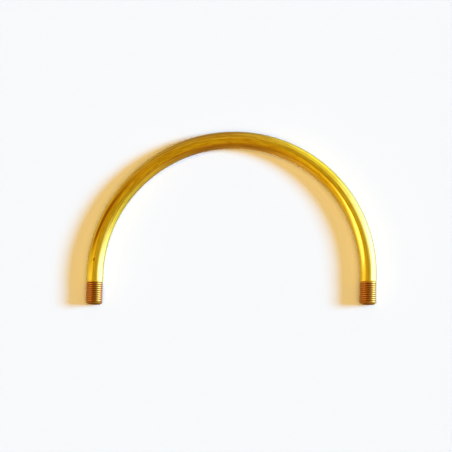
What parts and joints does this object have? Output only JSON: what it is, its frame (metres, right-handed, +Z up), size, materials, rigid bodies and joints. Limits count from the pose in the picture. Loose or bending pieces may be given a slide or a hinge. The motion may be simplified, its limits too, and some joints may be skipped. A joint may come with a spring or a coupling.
{
  "type": "siphon tube",
  "caption": "Brass siphon tube bent to a half circle, with a straight threaded leg at each end and a through bore for steam, water or air.",
  "frame": {"origin": "under the middle of the part's box, on the surface that the tube lies on", "axes": "+X across the two legs, +Y from the legs to the top of the arch, +Z up out of the plane of the bend; both legs point along -Y"},
  "size_m": [0.207, 0.1234, 0.012],
  "materials": {
    "brass": "drawn and polished, lightly tarnished, duller on the threads"
  },
  "bodies": {
    "root": {"siphon_tube": "brass"}
  },
  "joints": []
}
